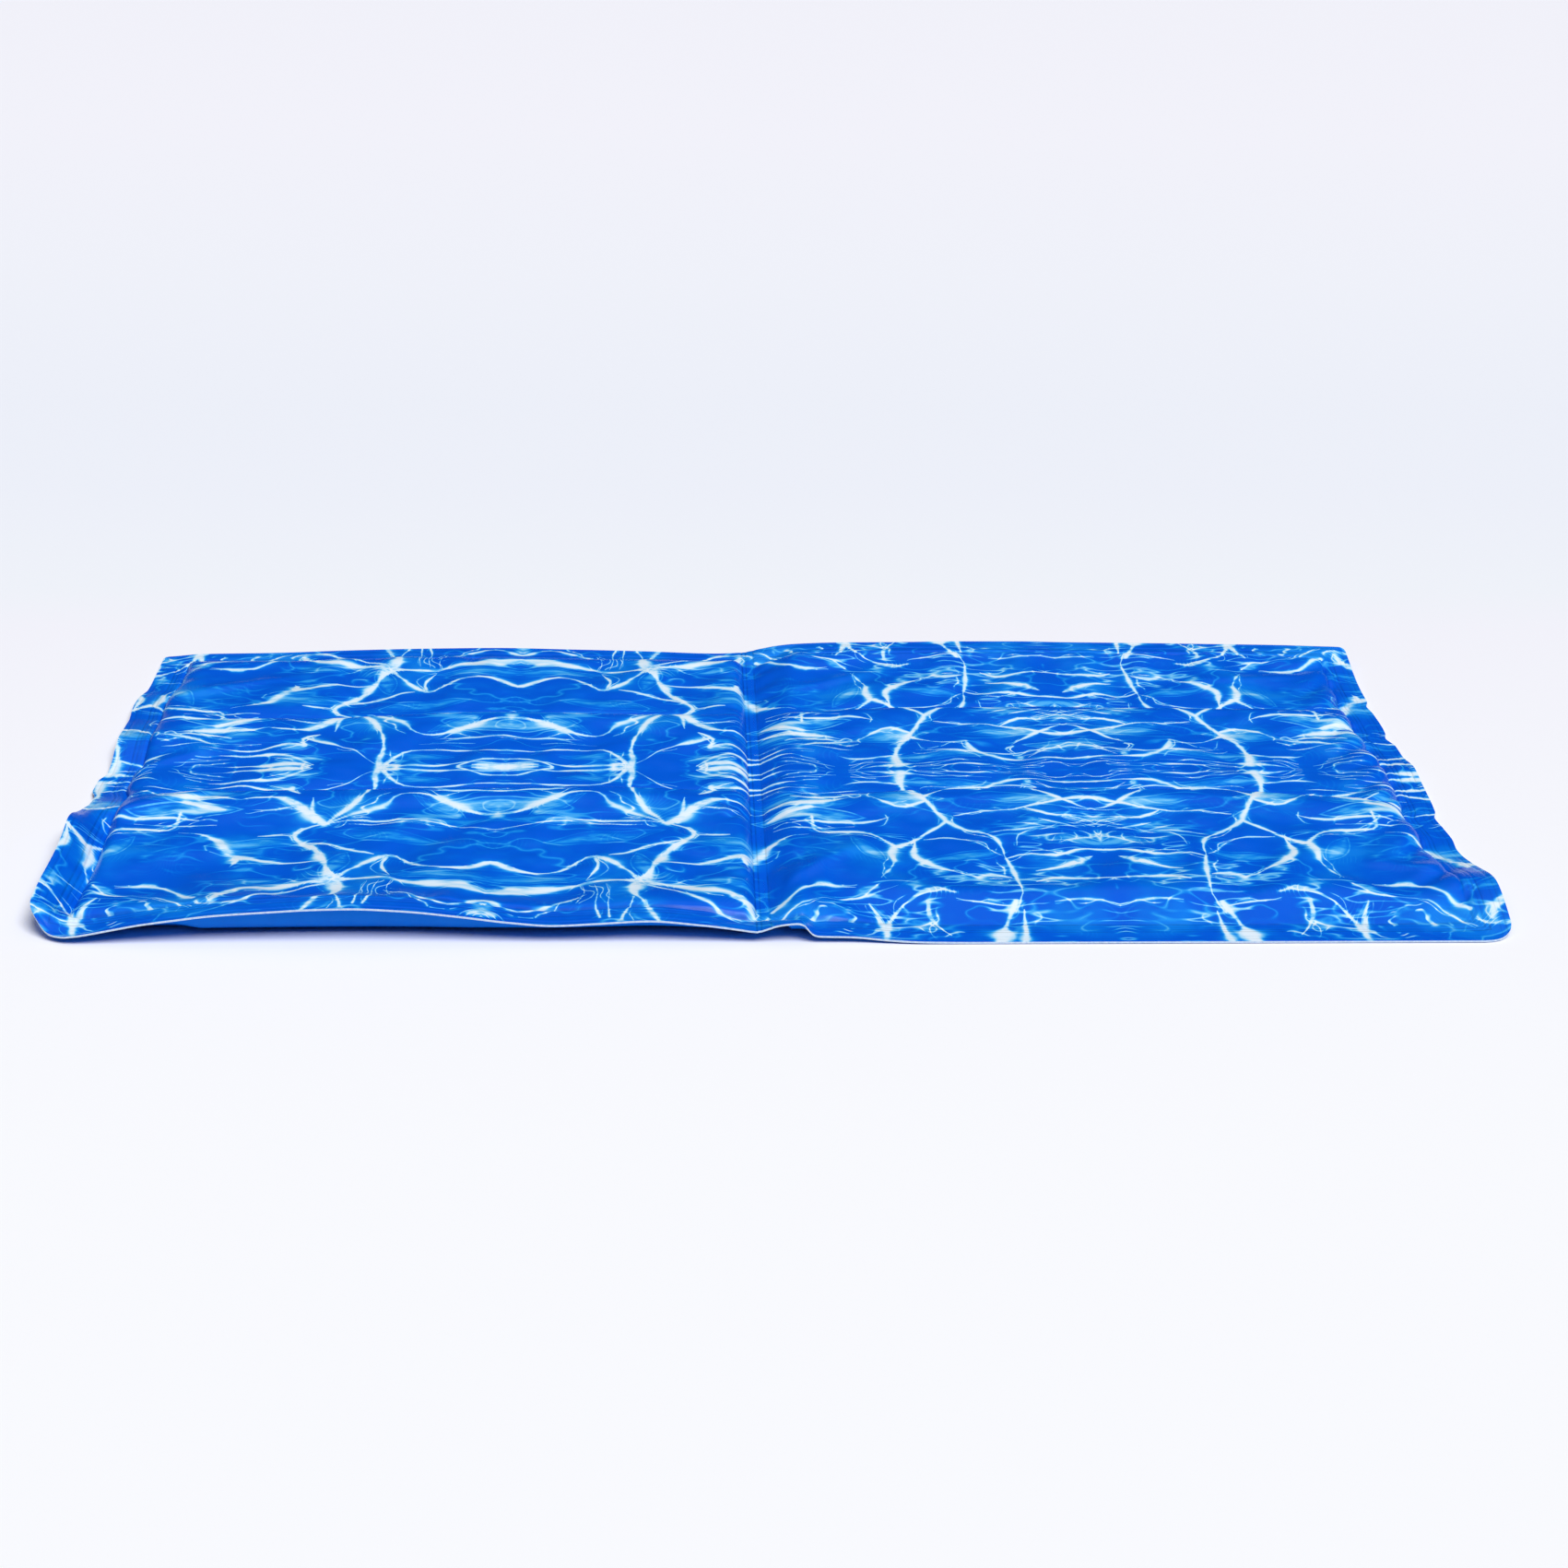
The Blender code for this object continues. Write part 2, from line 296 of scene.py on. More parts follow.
# ---------------------------------------------------------------- meshes
def steps(*stretches):
    """Places along a line: (start, end, step) for each stretch, end to end."""
    out = [stretches[0][0]]
    for start, end, size in stretches:
        n = max(1, round(abs(end - start) / size))
        out += [start + (end - start) * i / n for i in range(1, n + 1)]
    return np.array(out)


def sheet_grid(outer, inner, fine):
    """Flat places of one half's grid, with the outline's rounded corners."""
    sign = 1.0 if inner > outer else -1.0
    span = abs(inner - outer)
    across = steps((0, BORDER + 2, 0.9 * fine), (BORDER + 2, 44, 1.6 * fine), (44, span - 44, 3.2 * fine), (span - 44, span - 12, 1.5 * fine), (span - 12, span, 1.0 * fine))
    rows = steps(
        (-HALF_Y, -HALF_Y + BORDER + 2, 0.9 * fine), (-HALF_Y + BORDER + 2, -206, 1.6 * fine), (-206, -78, 3.2 * fine),
        (-78, -24, 1.5 * fine), (-24, 78, 3.2 * fine), (78, 132, 1.5 * fine), (132, 206, 3.0 * fine),
        (206, HALF_Y - BORDER - 2, 1.6 * fine), (HALF_Y - BORDER - 2, HALF_Y, 0.9 * fine),
    )
    r = corner_radius(outer, rows)
    q = np.maximum(np.abs(rows) - (HALF_Y - r), 0.0)
    pulled = r - np.sqrt(np.maximum(0.0, r**2 - q**2))
    c = across[None, :]
    p = pulled[:, None]
    inset = np.where(c < 44, p + c * (44 - p) / 44, c)
    x = outer + sign * inset
    y = np.repeat(rows[:, None], x.shape[1], axis=1)
    if sign < 0:
        x, y = x[:, ::-1], y[:, ::-1]
    return x, y


def drawn_in(x, y):
    """Sideways shift of the cloth where its folds draw the two short edges in."""
    return x - right_pull(y) * smooth((x - 380) / 60) + left_pull(y) * smooth((-380 - x) / 60)


def laid_out(x, y):
    """Shift of the front edge on the right, which lies flat and a little further out than the waved edge beside it."""
    return y - 2.4 * smooth((x - 40) / 50) * smooth((-HALF_Y + 40 - y) / 30)


def slab(name, x, y, lower, upper, looks, tiles=None):
    """A closed sheet between two faces over a grid. Its UV map is its flat cloth, in metres. tiles gives each upper face's material."""
    rows, cols = x.shape
    px, py = drawn_in(x, y), laid_out(x, y)
    n = rows * cols
    low = np.stack([px, py, lower], -1).reshape(n, 3)
    high = np.stack([px, py, upper], -1).reshape(n, 3)
    at = np.arange(n).reshape(rows, cols)
    a, b, c, d = at[:-1, :-1].ravel(), at[:-1, 1:].ravel(), at[1:, 1:].ravel(), at[1:, :-1].ravel()
    top = np.stack([a, b, c, d], 1) + n
    under = np.stack([a, d, c, b], 1)
    rim = np.concatenate([at[0, :], at[1:, -1], at[-1, -2::-1], at[-2:0:-1, 0]])
    after = np.roll(rim, -1)
    side = np.stack([rim, after, after + n, rim + n], 1)
    faces = np.concatenate([top, under, side])
    mesh = bpy.data.meshes.new(name)
    mesh.vertices.add(2 * n)
    mesh.vertices.foreach_set("co", (np.concatenate([low, high]) * MM).astype(np.float32).ravel())
    mesh.loops.add(4 * len(faces))
    mesh.loops.foreach_set("vertex_index", faces.astype(np.int32).ravel())
    mesh.polygons.add(len(faces))
    mesh.polygons.foreach_set("loop_start", np.arange(0, 4 * len(faces), 4, dtype=np.int32))
    count = len(looks)
    kind = np.concatenate([np.zeros(len(top)) if tiles is None else tiles, np.full(len(under), count - 2), np.full(len(side), count - 1)]).astype(np.int32)
    mesh.polygons.foreach_set("material_index", kind)
    mesh.update(calc_edges=True)
    flat = np.stack([x, y], -1).reshape(n, 2) * MM
    flat = np.concatenate([flat, flat])
    uv = mesh.uv_layers.new(name="flat")
    uv.data.foreach_set("uv", flat[faces.ravel()].astype(np.float32).ravel())
    mesh.validate()
    mesh.shade_smooth()
    mesh.set_sharp_from_angle(angle=math.radians(50))
    for look in looks:
        mesh.materials.append(look)
    obj = bpy.data.objects.new(name, mesh)
    bpy.context.scene.collection.objects.link(obj)
    return obj


# ---------------------------------------------------------------- how the cloth settles
SCALE = 10.0  # the cloth is simulated ten times as large, where the solver is steadier
SETTLE_FRAMES = 26
MOST_MOVE = 1.5  # mm
MOST_SLACK = 0.012  # share by which the sheet is longer than its place where it is slackest
GEL_HOLD = 0.25  # how the gel holds the sheet, between free and welded
BENDING = 60


def slack(x, y):
    """Where the printed sheet has length to spare: beside the welds, most at the right edge and beside the fold strip."""
    d = edge_distance(x, y)
    beside = np.exp(-np.maximum(0, d - BORDER) / 34.0)
    strip = np.exp(-np.maximum(0, np.abs(x + 8) - 12) / 22.0)
    right = smooth((x - 330) / 70)
    left = smooth((-350 - x) / 60)
    patches = 0.5 + 0.5 * np.sin(x / 37.0 + 1.4 * np.sin(y / 53.0)) * np.sin(y / 44.0 + 0.7)
    return np.clip(0.20 + beside * (0.30 + 0.30 * right + 0.25 * left) + 0.45 * strip + 0.15 * patches, 0, 1)


def settled(outer, inner):
    """Lets one half of the printed sheet settle on its gel as cloth, held along the welds. Returns how far each place of a coarse grid moves."""
    xs = np.linspace(outer, inner, 112)
    ys = np.linspace(-HALF_Y, HALF_Y, 126)
    gx, gy = np.meshgrid(xs, ys)
    gz = top_face(gx, gy)
    rows, cols = gx.shape
    start = np.stack([gx, gy, gz], -1).reshape(-1, 3) * MM * SCALE
    at = np.arange(rows * cols).reshape(rows, cols)
    a, b, c, d = at[:-1, :-1].ravel(), at[:-1, 1:].ravel(), at[1:, 1:].ravel(), at[1:, :-1].ravel()
    mesh = bpy.data.meshes.new("settling")
    mesh.from_pydata(start.tolist(), [], np.stack([a, b, c, d], 1).tolist())
    cloth = bpy.data.objects.new("settling", mesh)
    bpy.context.scene.collection.objects.link(cloth)
    welded = (edge_distance(gx, gy) < BORDER + 0.5) | ((gx > -13.0) & (gx < -2.5))
    hold = np.where(welded, 1.0, GEL_HOLD).ravel()
    tight = 1 - slack(gx, gy).ravel()
    for name, weights in (("hold", hold), ("tight", tight)):
        group = cloth.vertex_groups.new(name=name)
        for i, w in enumerate(weights):
            group.add([i], float(w), "REPLACE")
    cs = cloth.modifiers.new("settle", "CLOTH")
    s = cs.settings
    s.quality = 5
    s.mass = 0.3
    s.tension_stiffness = s.compression_stiffness = 18
    s.shear_stiffness = 12
    s.bending_stiffness = BENDING
    s.tension_damping = s.compression_damping = s.shear_damping = 6
    s.bending_damping = 0.6
    s.air_damping = 2.0
    s.vertex_group_mass = "hold"
    s.pin_stiffness = 1.0
    s.vertex_group_shrink = "tight"
    s.shrink_min = -MOST_SLACK
    s.shrink_max = 0.0
    s.effector_weights.gravity = 0.0
    cs.collision_settings.use_collision = False
    cs.point_cache.frame_start = 1
    cs.point_cache.frame_end = SETTLE_FRAMES
    scene = bpy.context.scene
    for frame_number in range(1, SETTLE_FRAMES + 1):
        scene.frame_set(frame_number)
    shape = cloth.evaluated_get(bpy.context.evaluated_depsgraph_get())
    made_mesh = shape.to_mesh()
    end = np.empty(3 * len(made_mesh.vertices), np.float32)
    made_mesh.vertices.foreach_get("co", end)
    shape.to_mesh_clear()
    moved = (end.reshape(-1, 3) - start).reshape(rows, cols, 3) / (MM * SCALE)
    bpy.data.objects.remove(cloth, do_unlink=True)
    bpy.data.meshes.remove(mesh)
    scene.frame_set(1)
    for _ in range(2):  # the gel rounds off what is finer than the grid
        wide = np.pad(moved, ((1, 1), (1, 1), (0, 0)), mode="edge")
        moved = (wide[:-2, 1:-1] + wide[2:, 1:-1] + wide[1:-1, :-2] + wide[1:-1, 2:] + 4 * moved) / 8
    size = np.linalg.norm(moved, axis=-1, keepdims=True)
    moved = moved * (MOST_MOVE * np.tanh(size / MOST_MOVE) / np.maximum(size, 1e-6))
    return xs, ys, moved


def settled_at(rest, x, y):
    """The settled cloth's movement at places of the fine grid."""
    xs, ys, moved = rest
    if xs[0] > xs[-1]:
        xs, moved = xs[::-1], moved[:, ::-1]
    u = np.clip((x - xs[0]) / (xs[1] - xs[0]), 0, len(xs) - 1.001)
    v = np.clip((y - ys[0]) / (ys[1] - ys[0]), 0, len(ys) - 1.001)
    i, j = u.astype(int), v.astype(int)
    u, v = smooth(u - i)[..., None], smooth(v - j)[..., None]
    return (
        moved[j, i] * (1 - u) * (1 - v) + moved[j, i + 1] * u * (1 - v)
        + moved[j + 1, i] * (1 - u) * v + moved[j + 1, i + 1] * u * v
    )


# ---------------------------------------------------------------- materials
class Nodes:
    """Shorthand for building a node tree."""

    def __init__(self, tree):
        self.tree = tree

    def add(self, kind, inputs=(), **settings):
        node = self.tree.nodes.new(kind)
        for key, value in settings.items():
            setattr(node, key, value)
        for key, value in dict(inputs).items():
            if isinstance(value, bpy.types.NodeSocket):
                self.tree.links.new(value, node.inputs[key])
            else:
                node.inputs[key].default_value = value
        return node

    def math(self, operation, a, b=0.0, c=0.0, clamp=False):
        return self.add("ShaderNodeMath", {0: a, 1: b, 2: c}, operation=operation, use_clamp=clamp).outputs[0]

    def vector(self, operation, a, b=(0, 0, 0), out=0, **more):
        node = self.add("ShaderNodeVectorMath", {0: a, 1: b}, operation=operation)
        for key, value in more.items():
            if isinstance(value, bpy.types.NodeSocket):
                self.tree.links.new(value, node.inputs[key])
            else:
                node.inputs[key].default_value = value
        return node.outputs[out]

    def noise(self, vector, scale, detail=2.0, rough=0.5, out=0, distortion=0.0):
        return self.add("ShaderNodeTexNoise", {"Vector": vector, "Scale": scale, "Detail": detail, "Roughness": rough, "Distortion": distortion}).outputs[out]

    def ramp(self, value, *stops):
        node = self.add("ShaderNodeValToRGB", {0: value})
        band = node.color_ramp
        band.interpolation = "LINEAR"
        while len(band.elements) < len(stops):
            band.elements.new(0.5)
        for e, (at, colour) in zip(band.elements, stops):
            e.position = at
            e.color = (*colour, 1)
        return node.outputs[0]

    def span(self, value, low, high, to_low=0.0, to_high=1.0, style="SMOOTHSTEP"):
        return self.add(
            "ShaderNodeMapRange",
            {"Value": value, "From Min": low, "From Max": high, "To Min": to_low, "To Max": to_high},
            interpolation_type=style,
        ).outputs[0]


def material(name):
    m = bpy.data.materials.new(name)
    m.use_nodes = True
    m.node_tree.nodes.clear()
    n = Nodes(m.node_tree)
    shader = n.add("ShaderNodeBsdfPrincipled")
    output = n.add("ShaderNodeOutputMaterial", {"Surface": shader.outputs[0]})
    uv = n.add("ShaderNodeUVMap", uv_map="flat").outputs[0]
    return m, n, shader, uv


def srgb(r, g, b):
    return tuple(c / 255 / 12.92 if c <= 10 else ((c / 255 + 0.055) / 1.055) ** 2.4 for c in (r, g, b))


def weave(n, uv, strength, pitch):
    """Fine woven ground under the coating."""
    x = n.add("ShaderNodeSeparateXYZ", {0: uv})
    a = n.math("SINE", n.math("MULTIPLY", x.outputs[0], 2 * math.pi / pitch))
    b = n.math("SINE", n.math("MULTIPLY", x.outputs[1], 2 * math.pi / pitch))
    ground = n.math("MULTIPLY", a, b)
    grain = n.noise(uv, 900.0, 2.0, 0.6)
    height = n.math("ADD", n.math("MULTIPLY", ground, 0.5), grain)
    return n.add("ShaderNodeBump", {"Height": height, "Strength": strength, "Distance": 0.00015}).outputs[0]


# Light strands of the water print, each a line of places from the mirror lines with the strand's half width there.
STRANDS = [
    [(0, 7, 0.9), (14, 6, 0.9), (45, 5, 0.9), (80, 2, 2)],
    [(80, 0, 3.2), (84, 14, 1.4), (83, 30, 1.8), (84, 46, 1.8), (89, 63, 1.6), (96, 84, 1.5), (106, 99, 1.8)],
    [(80, 2, 1.6), (74, 20, 1.2), (66, 32, 1.3), (50, 34, 1), (22, 29, 0.7), (0, 22, 0.7)],
    [(80, 3, 1.2), (92, 14, 0.8), (104, 28, 1.2), (124, 36, 1.4), (138, 48, 3)],
    [(0, 82, 3.4), (14, 80, 4.6), (26, 74, 5.0), (38, 64, 3.4), (47, 58, 2.0), (62, 58, 1.5), (70, 66, 2), (74, 79, 2.2), (90, 90, 1.5), (106, 99, 1.8)],
    [(108, 99, 3.2), (119, 86, 3.6), (130, 71, 2.6), (146, 62, 1.6), (168, 66, 1.6)],
    [(114, 96, 2.6), (119, 78, 1.8), (121, 62, 1.2)],
    [(108, 99, 1.6), (123, 103, 1.6), (130, 114, 2.2), (125, 126, 1.7), (113, 141, 2), (109, 158, 3.2), (104, 176, 5.2), (98, 190, 8)],
    [(130, 113, 1.6), (142, 115, 1.4), (152, 117, 0.7)],
    [(125, 125, 1.2), (102, 134, 1.3), (86, 141, 1.2), (72, 149, 1.2)],
    [(108, 99, 1), (84, 97, 0.9), (56, 97, 0.8), (30, 100, 0.8), (10, 106, 0.9), (0, 108, 1)],
    [(100, 103, 0.6), (70, 101, 0.6), (40, 104, 0.5)],
    [(0, 158, 2), (9, 165, 2.8), (22, 173, 3), (36, 173, 2.8), (46, 165, 2), (56, 152, 2.2), (64, 150, 2.8)],
    [(64, 150, 2.6), (76, 162, 2), (88, 176, 2.4), (98, 190, 6)],
    [(64, 152, 1.8), (67, 170, 1.6), (60, 186, 1.4)],
    [(98, 190, 7), (84, 190, 3), (68, 188, 2), (52, 196, 2.2), (30, 206, 3), (0, 212, 3.2)],
    [(98, 190, 7), (93, 206, 3.4), (90, 224, 3), (99, 240, 2), (106, 256, 1.6)],
    [(90, 226, 2), (85, 240, 1.4), (84, 256, 1.2)],
    [(98, 192, 5), (118, 200, 3), (140, 208, 3.4), (158, 214, 2.6), (166, 232, 2)],
    [(104, 200, 2), (120, 212, 1.5), (136, 227, 1.6), (148, 238, 2), (166, 238, 1.8), (176, 232, 1.4)],
    [(112, 164, 0.9), (132, 162, 1.2), (148, 156, 2.0), (160, 150, 3.4), (170, 140, 2.4), (173, 126, 1.6), (184, 119, 1.3), (204, 115, 1.1)],
    [(160, 150, 3.0), (157, 158, 1.2), (160, 166, 0.6)],
    [(0, 226, 1.2), (10, 236, 2.2), (22, 244, 3), (36, 236, 1.8), (50, 230, 1.2), (62, 214, 1.4)],
    [(0, 246, 7), (8, 250, 6)],
    [(66, 196, 0.7), (70, 214, 0.8), (66, 230, 0.7), (70, 252, 0.7)],
    [(74, 196, 0.6), (77, 214, 0.7), (73, 232, 0.6), (76, 252, 0.7)],
    [(58, 196, 0.6), (62, 210, 0.6), (56, 232, 0.6)],
    [(0, 13, 1.2), (13, 12, 1.4), (26, 3, 1.6), (34, 0, 1)],
    [(0, 3, 4.6), (11, 3, 3.4), (20, 1, 1.2)],
    [(126, 0, 1.2), (138, 4, 2.4), (150, 6, 2.4), (161, 4, 1.3), (173, 6, 1), (185, 3, 0.9), (202, 6, 1), (220, 3, 1)],
    [(128, 1, 1.2), (136, 10, 1.6), (146, 19, 2), (158, 22, 1.8), (169, 25, 1.2), (181, 20, 1.2), (197, 25, 1.1), (214, 16, 1)],
    [(190, 12, 0.7), (206, 14, 1.1), (226, 9, 0.8)],
    [(138, 34, 2.4), (144, 46, 4.2), (130, 57, 1.2)],
    [(140, 36, 2), (150, 40, 2.4), (158, 36, 1.5), (170, 30, 1.3), (182, 29, 1.3), (198, 36, 1.6), (214, 31, 1)],
    [(168, 41, 1), (182, 40, 1.2), (200, 44, 1.4), (222, 38, 1.2), (240, 36, 0.8)],
    [(168, 66, 1.4), (180, 62, 1.6), (190, 60, 2.4), (204, 66, 3.4), (222, 64, 2.2), (240, 56, 1)],
    [(176, 80, 1.4), (190, 76, 3), (204, 72, 2)],
    [(196, 38, 1.5), (214, 44, 1.5), (228, 53, 2.2), (243, 55, 1.2)],
    [(243, 55, 1.4), (256, 69, 1.7), (270, 74, 1.8), (284, 66, 2.2)],
    [(269, 8, 4.6), (270, 30, 2.6), (273, 46, 3), (284, 60, 3.6), (289, 74, 2), (290, 93, 2.2)],
    [(284, 60, 2.2), (293, 51, 1.2), (305, 44, 1.1), (322, 46, 2.6)],
    [(322, 46, 3.2), (327, 28, 3.2), (338, 20, 1.4), (362, 17, 1), (382, 24, 1.8), (391, 18, 2.2)],
    [(235, 4, 1.4), (254, 7, 1.8), (269, 8, 3), (290, 12, 1.4), (330, 14, 1)],
    [(236, 13, 0.7), (252, 15, 0.8), (268, 12, 1.4)],
    [(205, 86, 1.6), (205, 101, 1.6), (210, 112, 1.2), (224, 110, 1.8), (237, 107, 1.8), (248, 118, 1.3), (256, 130, 2.2)],
    [(256, 130, 3), (253, 143, 3.4), (257, 157, 2.8), (252, 172, 1.8), (247, 186, 1)],
    [(258, 130, 3.2), (272, 113, 2.4), (281, 101, 1.8), (290, 93, 2.2)],
    [(268, 112, 1.4), (267, 140, 2.4), (272, 158, 2), (292, 176, 1.2), (306, 182, 1.8)],
    [(290, 93, 2), (305, 109, 1.4), (318, 114, 1.4), (325, 128, 1.7), (327, 146, 1.6)],
    [(274, 117, 1.2), (296, 119, 1.1), (310, 126, 1.2), (316, 138, 1.1), (326, 146, 1.4)],
    [(318, 114, 1.2), (343, 110, 1.3), (364, 109, 1), (380, 104, 1.2), (391, 98, 2.2)],
    [(327, 146, 1.4), (331, 160, 1.5), (329, 182, 1.2), (332, 204, 1.2), (326, 220, 1.6)],
    [(306, 182, 2), (314, 173, 2.4), (327, 178, 1.6)],
    [(336, 132, 0.8), (338, 118, 0.9), (350, 110, 0.9)],
    [(358, 128, 0.8), (365, 114, 0.8)],
    [(327, 150, 1), (345, 140, 1.4), (360, 150, 2.6), (372, 142, 1.6), (391, 136, 1.2)],
    [(345, 168, 1), (362, 164, 1.6), (376, 158, 3.6), (384, 150, 1.4)],
    [(340, 186, 1), (350, 178, 1.4), (372, 182, 1), (391, 186, 1.4)],
    [(391, 112, 2.6), (391, 124, 2)],
    [(391, 78, 1.4), (376, 70, 1.2), (358, 56, 1.1), (349, 44, 0.9)],
    [(391, 52, 1.2), (374, 38, 1), (360, 22, 0.9)],
    [(350, 30, 1), (344, 38, 1.1), (350, 42, 1.8)],
    [(391, 88, 1.3), (374, 87, 1.1), (366, 92, 1.4), (352, 87, 1.2), (344, 78, 0.8)],
    [(352, 9, 0.7), (370, 14, 0.8), (382, 13, 0.8), (391, 8, 1)],
    [(178, 222, 1.8), (190, 213, 1.5), (198, 197, 1.8), (213, 190, 2.8), (230, 197, 1.6)],
    [(178, 240, 1.2), (193, 228, 1.2), (204, 213, 1.4), (218, 212, 1.2), (236, 208, 1.1), (256, 196, 1)],
    [(238, 214, 1.2), (246, 226, 1.6), (250, 244, 2.4), (246, 256, 2.4)],
    [(250, 240, 2.4), (256, 220, 2.2), (266, 205, 1.8), (280, 200, 3), (288, 204, 2)],
    [(274, 212, 2.4), (275, 226, 1.4), (286, 246, 1.6)],
    [(252, 238, 1.4), (272, 236, 1.4), (280, 228, 1.2)],
    [(288, 212, 0.7), (308, 211, 0.9), (326, 214, 1.4)],
    [(326, 210, 2.2), (322, 224, 4.4), (318, 240, 5.6), (316, 256, 6)],
    [(331, 218, 1.2), (332, 238, 2.6), (330, 256, 3.4)],
    [(348, 212, 0.9), (366, 211, 1.8), (391, 215, 1)],
    [(190, 50, 0.6), (206, 57, 1.3), (224, 60, 1.7), (244, 52, 0.8)],
    [(122, 74, 0.7), (142, 83, 1.4), (160, 80, 0.6)],
    [(192, 95, 0.6), (218, 90, 1.6), (238, 93, 1.2), (256, 84, 0.7)],
    [(228, 26, 0.7), (246, 20, 1.5), (262, 22, 1.2), (275, 30, 0.7)],
    [(178, 101, 0.5), (206, 105, 1.1), (232, 98, 0.6)],
    [(286, 38, 0.8), (312, 29, 1.4), (340, 27, 1), (368, 35, 1.3), (391, 46, 2)],
    [(298, 84, 0.7), (318, 76, 1.4), (338, 82, 1), (360, 72, 1.3), (391, 60, 1.6)],
    [(283, 4, 0.8), (312, 9, 1.4), (345, 4, 1.2), (370, 7, 0.8)],
    [(20, 42, 0.5), (44, 46, 0.9), (62, 42, 0.6)],
    [(338, 100, 0.7), (350, 106, 2.0), (364, 114, 0.8)],
    [(352, 97, 0.7), (364, 102, 2.2), (379, 110, 0.9)],
    [(368, 93, 0.7), (377, 97, 2.2), (389, 104, 1.0)],
    [(344, 120, 0.7), (358, 122, 1.8), (374, 118, 0.7)],
    [(362, 132, 0.6), (374, 126, 1.7), (388, 120, 1.0)],
    [(0, 52, 0.6), (26, 50, 0.8), (52, 52, 0.5)],
]

# Pale see-through patches between strands: middle, half length, half width, turn in degrees, and how pale.
LEAVES = [
    (137, 12, 20, 8, 4, 0.62), (142, 33, 13, 6, -10, 0.6), (202, 82, 40, 11, 4, 0.75), (218, 68, 26, 6, -8, 0.4), (268, 60, 32, 10, 6, 0.62),
    (300, 24, 40, 8, 2, 0.5), (391, 44, 36, 9, 0, 0.65), (350, 66, 30, 7, 12, 0.5), (388, 90, 30, 7, 0, 0.5), (176, 56, 22, 6, -8, 0.4),
    (0, 70, 44, 10, 0, 0.6), (40, 76, 24, 8, -34, 0.45), (34, 96, 34, 8, 12, 0.4), (70, 120, 40, 9, -16, 0.42), (150, 130, 34, 9, 14, 0.45), (60, 22, 26, 6, 8, 0.4), (98, 168, 26, 9, 70, 0.42),
    (28, 186, 34, 8, -6, 0.45), (150, 196, 26, 7, 16, 0.5), (300, 150, 34, 8, -20, 0.45), (372, 128, 26, 8, 8, 0.5), (240, 140, 22, 7, 60, 0.4),
]

# The print is mirrored about X = -178 and X = 213, and about Y = 6.
MIRROR_X, MIRROR_RUN, MIRROR_Y = -178.0, 391.0, 6.0
TILES_X, TILES_Y = (0, 66, 132, 198, 263, 328, 391), (0, 66, 131, 197, 262)
REACH = 24.0  # how far a strand's glow reaches
WARP = 10.0  # most that the warp moves a strand


def past_mirror(end, before):
    """Where a strand that ends on a mirror line goes on behind it, or nothing for another end."""
    if end[0] in (0, MIRROR_RUN):
        mirrored = np.array([2 * end[0] - before[0], before[1], before[2]])
    elif end[1] == 0:
        mirrored = np.array([before[0], -before[1], before[2]])
    else:
        return []
    return [end + (mirrored - end) * min(1.0, 14 / math.hypot(*(mirrored - end)[:2]))]


def rounded(line):
    """The strand's line with its corners drawn as smooth bends. A free end runs out thin."""
    p = [np.array(place, float) for place in line]
    for end in (p[0], p[-1]):
        if end[2] <= 1.6 and 2 < end[0] < 389 and 2 < end[1] < 250:
            end[2] *= 0.3
    p = past_mirror(p[0], p[1]) + p + past_mirror(p[-1], p[-2])
    out = [p[0]]
    for a, b, c, d in zip([2 * p[0] - p[1]] + p[:-2], p[:-1], p[1:], p[2:] + [2 * p[-1] - p[-2]]):
        parts = 3 if math.hypot(*(c - b)[:2]) > 26 else 2
        for i in range(1, parts + 1):
            t = i / parts
            place = ((1 - t) ** 3 * a + (3 * t**3 - 6 * t**2 + 4) * b + (3 * t**2 + 3 * t + 1 - 3 * t**3) * c + t**3 * d) / 6
            out.append(np.array([place[0], place[1], max(0.2, place[2] * (0.93 + 0.06 * place[2]) * (1.0 if place[0] < 185 else 0.82))]))
    return [tuple(place) for place in out]


